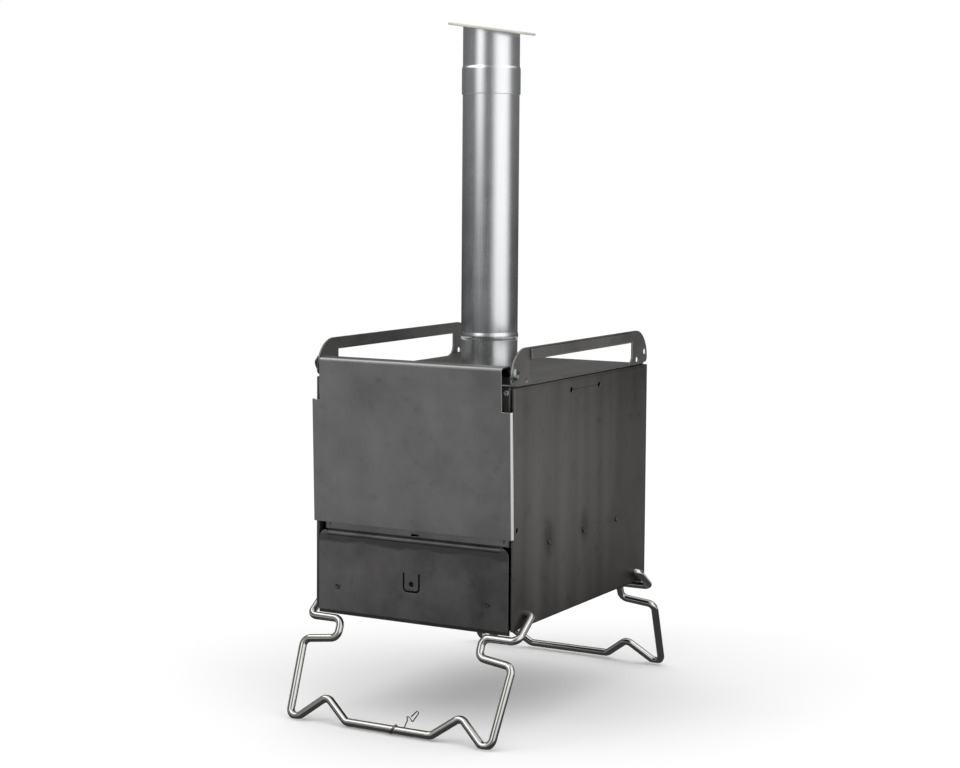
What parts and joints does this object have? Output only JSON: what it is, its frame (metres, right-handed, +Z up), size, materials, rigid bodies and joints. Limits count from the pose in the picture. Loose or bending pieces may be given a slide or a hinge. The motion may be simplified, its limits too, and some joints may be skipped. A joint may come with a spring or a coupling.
{
  "type": "tent wood stove",
  "caption": "Small sheet-metal wood stove on folding wire legs, with a swing-up fire door, an ash drawer, carrying ears and a round flue with a slanted cap.",
  "frame": {"origin": "on the floor, at the centre of the footprint", "axes": "+X to the stove's right seen from the front, +Y towards its back, +Z up; the fire door faces -Y"},
  "size_m": [0.25, 0.4114, 0.7122],
  "materials": {
    "dark_sheet": "satin, dark warm grey",
    "grey_sheet": "satin, mid grey",
    "pipe_steel": "bright satin",
    "pale_cap": "matt, pale warm grey",
    "bright_wire": "polished",
    "fastener_steel": "satin",
    "black_rod": "black oxide",
    "plain_steel": "satin mill finish"
  },
  "bodies": {
    "stove_body": {"right_side_panel": "dark_sheet", "left_side_panel": "dark_sheet", "bottom_plate": "dark_sheet", "back_panel": "dark_sheet", "back_panel_rivets": "fastener_steel", "top_cover": "grey_sheet", "front_frame": "dark_sheet", "frame_screws": "fastener_steel", "frame_nuts": "fastener_steel", "hinge_rod": "black_rod", "hinge_caps": "bright_wire", "left_grate_rail": "plain_steel", "right_grate_rail": "plain_steel", "grate_rail_rivets": "fastener_steel", "fire_grate": "plain_steel", "flue_collar": "pipe_steel"},
    "door": {"fire_door": "grey_sheet", "hinge_sleeve": "plain_steel"},
    "drawer": {"ash_drawer_front": "dark_sheet", "ash_drawer_tray": "plain_steel", "drawer_rivets": "fastener_steel"},
    "front_leg_frame": {"front_leg": "bright_wire"},
    "rear_leg_frame": {"rear_leg": "bright_wire"},
    "keeper": {"leg_keeper": "plain_steel"},
    "lower_pipe": {"lower_flue_pipe": "pipe_steel"},
    "upper_pipe": {"upper_flue_pipe": "pipe_steel"},
    "cap": {"flue_cap": "pale_cap"}
  },
  "joints": [
    {"name": "door_hinge", "type": "hinge", "parent": "stove_body", "child": "door", "pos_m": [0, -0.1525, 0.35938], "axis": [-1, 0, 0], "range_deg": [0, 207]},
    {"name": "drawer_slide", "type": "slide", "parent": "stove_body", "child": "drawer", "axis": [0, -1, 0], "range_m": [0, 0.25]},
    {"name": "front_leg_fold", "type": "hinge", "parent": "stove_body", "child": "front_leg_frame", "pos_m": [0, -0.126, 0.11928], "axis": [1, 0, 0], "range_deg": [0, 115]},
    {"name": "rear_leg_fold", "type": "hinge", "parent": "stove_body", "child": "rear_leg_frame", "pos_m": [0, 0.126, 0.11928], "axis": [-1, 0, 0], "range_deg": [0, 106]},
    {"name": "keeper_swing", "type": "hinge", "parent": "front_leg_frame", "child": "keeper", "pos_m": [0.0064, -0.20027, 0.00581], "axis": [1, 0, 0], "range_deg": [-40, 40]},
    {"name": "lower_pipe_lift", "type": "slide", "parent": "stove_body", "child": "lower_pipe", "axis": [0, 0, 1], "range_m": [0, 0.035]},
    {"name": "upper_pipe_lift", "type": "slide", "parent": "lower_pipe", "child": "upper_pipe", "axis": [0, 0, 1], "range_m": [0, 0.035]},
    {"name": "cap_lift", "type": "slide", "parent": "upper_pipe", "child": "cap", "axis": [0, 0, 1], "range_m": [0, 0.02]}
  ]
}
